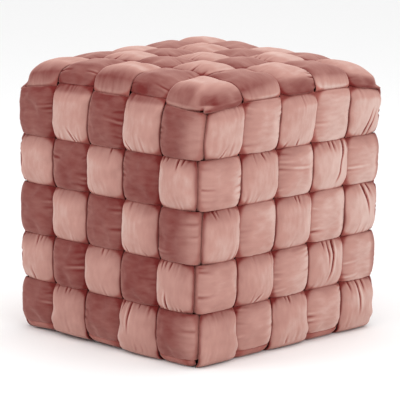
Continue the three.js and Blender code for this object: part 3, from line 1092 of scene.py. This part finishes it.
def strap_base(facing, along, lip):
    """How light a strap's pile is painted on the sides of the cube, by where the cover faces: partly its
    nap, partly painted sheen and shade.
    """
    facing = np.abs(facing)
    below = smooth(np.abs(along), EDGE_RUN - EDGE_BLEND, EDGE_RUN + EDGE_BLEND)
    return STRAP_DARK + (lip - STRAP_DARK + (STRAP_LIGHT - lip) * below) * smooth(facing, *FACING_SHARES)


def note_pile(points, normals, facts, base, level):
    """Notes how much painted shade each point's valley takes and how light its pile is painted."""
    facts["valley"] = facts["valley"] * (1 - EDGE_VALLEY_CALM * by_upright_edge(points))
    facts["nap"] = painted_pile_light(points, normals, facts, base, level)


def finish_cover(piece, material, node):
    close_cover(piece)
    dress(piece, material, node)


# Folds that can be made out, by strap and row: the end of the cell where a fold starts, where it starts and
# ends from the left edge (-1) to the right edge (1), its length as a share of the cell, and its depth as a
# multiple of STRAP_FOLD_UNIT.

FRONT_STRAP_FOLDS = {
    1: {4: [("top", 0.0, 0.1, 0.22, 1.3), ("top", 0.3, 0.35, 0.16, 1.2)]},
    2: {
        1: [("bottom", 0.4, 0.0, 0.28, 1.8), ("bottom", 0.55, 0.35, 0.16, 1.3)],
        5: [("top", -0.1, -0.05, 0.16, 1.3), ("top", 0.15, 0.1, 0.12, 1.1), ("top", -0.6, -0.5, 0.2, 1.0)],
    },
    3: {4: [("top", 0.0, 0.05, 0.17, 1.3)], 2: [("top", 0.4, 0.45, 0.12, 0.9)]},
    4: {
        1: [("bottom", -0.5, -0.8, 0.2, 1.6)],
        3: [("bottom", -0.6, -0.75, 0.2, 1.3), ("bottom", 0.5, 0.3, 0.15, 1.0)],
        5: [("top", -0.3, -0.35, 0.75, 2.0), ("top", -0.7, -0.75, 0.3, 1.5), ("top", 0.1, 0.1, 0.14, 1.2)],
    },
    5: {
        2: [
            ("top", -0.75, -0.75, 0.14, 1.3),
            ("top", -0.5, -0.48, 0.12, 1.2),
            ("top", 0.2, 0.2, 0.24, 2.0),
            ("top", 0.5, 0.48, 0.16, 1.6),
        ],
        4: [
            ("top", -0.7, -0.6, 0.24, 1.4),
            ("top", -0.45, -0.4, 0.18, 1.3),
            ("top", -0.1, -0.15, 0.22, 1.4),
            ("bottom", -0.3, -0.3, 0.42, 2.4),
            ("bottom", 0.3, 0.3, 0.12, 1.2),
            ("bottom", 0.55, 0.5, 0.12, 1.3),
        ],
    },
}

FRONT_BACK_SEED = 100
# The lips' and the top's painted lightness, partly nap and partly painted sheen and shade.
FRONT_BACK_LIP = 0.45
FRONT_BACK_LEVEL = 0.87


for column in range(1, STRAPS + 1):
    cells = strap_cells(
        lambda step: is_even(column + 3 + step),
        lambda row: front_strap_is_over(column, row),
        HANGING_FRONT,
        [row_one_rise((column - 3) * PITCH, way * CORNER) for way in (-1, 1)],
    )
    chance = np.random.default_rng(FRONT_BACK_SEED + column)
    seen = FRONT_STRAP_FOLDS.get(column, {})
    calm, points, facts = strap_grid(chance, column, cells, HANGING_SIDE, seen, -1)
    points = settled(points)
    normals = grid_normals(settled(calm), False)
    base = strap_base(normals[..., 1], facts["along"], FRONT_BACK_LIP)
    note_pile(points, normals, facts, base, FRONT_BACK_LEVEL)
    strap = cover_mesh(f"strap_front_back_{column}", points, False, facts)
    finish_cover(strap, strap_velvet, f"strap_fb_{column}")


# The five straps that run left to right are the same padded tubes of velvet. They are woven through the
# first five on the top and through the bands on the other two sides, and are turned under the base in the
# same way. Each is laid out as if it ran front to back and then turned by a quarter.

SIDE_STRAP_FOLDS = {
    1: {
        1: [("bottom", -0.45, -0.15, 0.18, 1.8)],
        3: [("top", -0.7, -0.6, 0.2, 1.5), ("top", -0.5, -0.42, 0.15, 1.3)],
    },
    2: {
        2: [("top", 0.0, 0.15, 0.2, 1.7), ("top", 0.45, 0.5, 0.1, 1.0)],
        4: [("bottom", -0.1, 0.25, 0.22, 2.2)],
    },
    3: {
        1: [("bottom", 0.0, 0.0, 0.16, 1.7), ("bottom", -0.75, -0.62, 0.14, 1.4)],
        3: [("top", 0.0, 0.05, 0.16, 1.4), ("top", 0.2, 0.22, 0.18, 1.5)],
        5: [("top", -0.15, -0.12, 0.2, 2.1), ("top", -0.35, -0.3, 0.13, 1.3)],
    },
    4: {
        2: [
            ("top", 0.65, 0.2, 0.92, 3.0),
            ("top", 0.78, 0.95, 0.22, 2.0),
            ("top", -0.2, -0.15, 0.2, 1.5),
            ("top", 0.05, 0.1, 0.24, 1.6),
        ],
        4: [("top", 0.3, 0.05, 0.96, 2.6), ("top", 0.0, -0.05, 0.6, 1.7), ("top", -0.3, -0.3, 0.22, 1.3)],
    },
    5: {
        1: [("bottom", 0.0, 0.45, 0.62, 1.9), ("bottom", 0.35, 0.7, 0.56, 1.7)],
        3: [("top", 0.0, 0.45, 0.7, 2.3), ("top", 0.3, 0.6, 0.3, 1.4)],
        5: [("top", -0.1, 0.0, 0.85, 2.3), ("top", 0.3, 0.3, 0.32, 1.5), ("top", -0.6, -0.5, 0.3, 1.3)],
    },
}

LEFT_RIGHT_SEED = 200
# The lips' and top's painted lightness as above; FAR_LIGHT and LEFT_LIP_LIGHT paint light toward the back
# and on the left lips.
LEFT_RIGHT_LIP = 0.68
LEFT_RIGHT_LEVEL = 0.43
FAR_LIGHT = 0.15
FAR_LIGHT_PLACES = (-0.18, 0.19)
LEFT_LIP_LIGHT = 0.20
LEFT_LIP_PLACES = (0, 0.1)
LEFT_LIP_HEIGHTS = (0.375, 0.39)


for column in range(1, STRAPS + 1):
    cells = strap_cells(
        lambda step: not is_even(column + 3 + step),
        lambda row: side_strap_is_over(column, row),
        HANGING_SIDE,
        [row_one_rise(way * CORNER, (column - 3) * PITCH) for way in (-1, 1)],
    )
    chance = np.random.default_rng(LEFT_RIGHT_SEED + column)
    seen = SIDE_STRAP_FOLDS.get(column, {})
    calm, points, facts = strap_grid(chance, STRAPS + 1 - column, cells, HANGING_FRONT, seen, 1)
    points = settled(quarter_turns(points, 3))
    normals = grid_normals(settled(quarter_turns(calm, 3)), False)
    base = strap_base(normals[..., 0], facts["along"], LEFT_RIGHT_LIP)
    base = base + FAR_LIGHT * smooth(points[..., 1], *FAR_LIGHT_PLACES)
    left_lip = LEFT_LIP_LIGHT * smooth(-points[..., 0], *LEFT_LIP_PLACES)
    base = base + left_lip * smooth(points[..., 2], *LEFT_LIP_HEIGHTS)
    note_pile(points, normals, facts, base, LEFT_RIGHT_LEVEL)
    strap = cover_mesh(f"strap_left_right_{column}", points, False, facts)
    finish_cover(strap, strap_velvet, f"strap_lr_{column}")


# The five bands are padded rings of the same velvet, one above the other. Each runs once round the four
# sides, over and under the upright straps, which hold it in place. No end or join shows, so each is a
# closed ring.

band_velvet = velvet("band_velvet")


def band_is_over(row, side, cell):
    column = cell if side < 2 else STRAPS + 1 - cell
    return not front_strap_is_over(column, row) if is_even(side) else not side_strap_is_over(column, row)


# Folds that can be made out on the bands, by row and cell. Here a fold's place runs from the lower edge (-1)
# to the upper edge (1). Its depth is a multiple of BAND_FOLD_UNIT, which is below 0, so that its middle
# stands up.

FRONT_BAND_FOLDS = {
    1: {
        1: [("right", 0.35, 0.3, 0.45, 1.2), ("right", 0.12, 0.1, 0.3, 1.0)],
        3: [("right", 0.0, 0.22, 0.5, 1.7), ("right", -0.5, -0.45, 0.14, 1.0)],
        5: [("left", 0.0, 0.0, 0.1, 1.2)],
    },
    2: {
        2: [("right", -0.45, -0.4, 0.18, 1.2), ("left", 0.3, 0.25, 0.12, 0.9)],
        4: [("left", 0.5, 0.45, 0.2, 1.4), ("left", 0.15, 0.12, 0.24, 1.7), ("left", -0.1, -0.1, 0.15, 1.1)],
    },
    3: {1: [("right", 0.4, 0.35, 0.3, 1.1)], 5: [("left", -0.6, -0.6, 0.5, 1.2)]},
    4: {
        2: [("right", 0.0, -0.1, 0.55, 1.8), ("left", 0.4, 0.3, 0.18, 1.4), ("left", 0.7, 0.65, 0.12, 1.2)],
        4: [("left", 0.25, 0.2, 0.14, 1.5)],
    },
    5: {1: [("right", 0.05, 0.1, 0.42, 1.5)], 3: [("left", 0.1, 0.1, 0.12, 1.1)]},
}
SIDE_BAND_FOLDS = {
    1: {
        2: [("right", 0.48, 0.45, 0.14, 1.4), ("left", 0.9, 0.7, 0.25, 1.1), ("left", 0.6, 0.5, 0.18, 0.9)],
        4: [("left", 0.3, 0.25, 0.15, 0.9)],
    },
    2: {
        3: [("left", 0.48, 0.44, 0.42, 1.5), ("long", 0.25, 0.1, 0.98, 1.2), ("left", -0.7, -0.6, 0.2, 1.0)],
        5: [("left", -0.28, -0.2, 0.6, 1.5)],
    },
    3: {
        2: [("left", -0.3, -0.3, 0.15, 0.8)],
        4: [("left", 0.4, 0.3, 0.2, 1.0), ("left", -0.5, -0.4, 0.2, 1.0)],
    },
    4: {
        3: [
            ("left", 0.1, 0.08, 0.22, 1.3),
            ("left", -0.2, -0.18, 0.18, 1.2),
            ("left", -0.75, -0.6, 0.3, 1.4),
            ("right", 0.85, 0.8, 0.6, 1.2),
        ],
        5: [("left", -0.2, -0.1, 0.5, 1.1), ("left", -0.8, -0.7, 0.5, 1.2)],
    },
    5: {
        2: [("left", 0.85, 0.8, 0.4, 1.2), ("left", -0.4, -0.3, 0.2, 1.0), ("right", 0.0, 0.0, 0.1, 1.3)],
        4: [("left", -0.1, -0.05, 0.2, 1.3), ("left", -0.4, -0.3, 0.2, 1.2), ("right", 0.85, 0.8, 0.2, 1.6)],
    },
}
seen_on_side = [FRONT_BAND_FOLDS, SIDE_BAND_FOLDS, {}, {}]

BAND_FOLD_UNIT = -0.0008
SEEN_BAND_STRENGTH = 0.3
PLAIN_BAND_STRENGTH = 0.6
BAND_CORNER_RUN = (CORNER - 0.025, CORNER - 0.005)
CORNER_PINCH_CALM = 0.8
LAST_BAND_DROP = 0.001


def band_grid(chance, row):
    """The whole grid of a band, made side by side and swollen as one ring."""
    parts = []
    states = []
    for side in range(4):
        cells = [
            (CELL_BORDERS[cell - 1], CELL_BORDERS[cell], band_is_over(row, side, cell))
            for cell in range(1, STRAPS + 1)
        ]
        run, state = sample_cells(cells)
        to_corner = smooth(np.abs(run), *BAND_CORNER_RUN)
        pinched = PINCH * (1 - np.abs(state)) ** PINCH_POWER
        narrow = EDGE_GAP + pinched * (1 - CORNER_PINCH_CALM * to_corner)
        low = ROW_EDGES[row] + narrow
        high = ROW_EDGES[row - 1] - narrow
        if row == 1:
            turned = quarter_turns(np.stack([run, 0 * run - CORNER, 0 * run], axis=-1), side)
            high = high + row_one_rise(turned[:, 0], turned[:, 1])
        if row == STRAPS:
            low = low - LAST_BAND_DROP
        folds = []
        middle = (ROW_EDGES[row] + ROW_EDGES[row - 1]) / 2
        half = (ROW_EDGES[row - 1] - ROW_EDGES[row]) / 2
        for cell, (start, end, is_over) in enumerate(cells, 1):
            if is_over:
                entries = seen_on_side[side].get(row, {}).get(cell, [])
                strength = SEEN_BAND_STRENGTH if entries else PLAIN_BAND_STRENGTH
                folds += gathers(chance, start, end, ROW_EDGES[row], ROW_EDGES[row - 1], strength)
                folds += seen_folds(entries, start, end, middle, half, BAND_FOLD_UNIT)
        heights, lifts, facts = sectioned(chance, run, state, low, high, folds, 1 + 0 * run)
        start = side_start(heights)
        along = np.broadcast_to(run[:, None], heights.shape)
        far = np.abs(along) > start
        grow = (CORNER - start + lifts) / (CORNER - start)
        x = np.where(far, np.sign(along) * (start + (np.abs(along) - start) * grow), along)
        y = -(CORNER + lifts)
        points = quarter_turns(rounded(np.stack([x, y, heights], axis=-1)), side)
        states.append(state)
        facts["along"] = along + 2 * CORNER * side
        facts["across"] = heights
        parts.append((points, facts))
    points = np.concatenate([part[0] for part in parts], axis=0)
    facts = {name: np.concatenate([part[1][name] for part in parts], axis=0) for name in facts}
    calm = points
    points = swell(points, np.concatenate(states), True)
    return calm, points + grid_normals(points, True) * facts["crease"][..., None], facts


# The bands' painted lightness: dark on the front side, light from the near upright edge to the right.
BAND_DARK = 0.16
BAND_LIGHT_RANGE = 0.66
NEAR_EDGE_LIGHT = 0.86
RIGHT_SIDE_LIGHT = 0.24
RIGHT_SIDE_RUN = 0.30
NEAR_EDGE_RUN = (0.040, 0.012)
FAR_EDGE_RUN = 0.02
BAND_SEED = 300


def band_base(along):
    """A band's pile is painted dark on the front side and light from the near upright edge to the right,
    partly its nap and partly painted sheen and shade.
    """
    side = 2 * CORNER
    place = np.mod(along + CORNER, 2 * side)
    by_edge = NEAR_EDGE_LIGHT * smooth(place, side - NEAR_EDGE_RUN[0], side + NEAR_EDGE_RUN[1])
    lit = by_edge + RIGHT_SIDE_LIGHT * smooth(place, side, side + RIGHT_SIDE_RUN)
    lit = lit * (1 - smooth(place, 2 * side - FAR_EDGE_RUN, 2 * side))
    return BAND_DARK + BAND_LIGHT_RANGE * lit


for row in range(1, STRAPS + 1):
    chance = np.random.default_rng(BAND_SEED + row)
    calm, points, facts = band_grid(chance, row)
    points = settled(points)
    normals = grid_normals(settled(calm), True)
    note_pile(points, normals, facts, band_base(facts["along"]), MIDDLE_LEVEL)
    band = cover_mesh(f"band_row_{row}", points, True, facts)
    finish_cover(band, band_velvet, f"band_{row}")
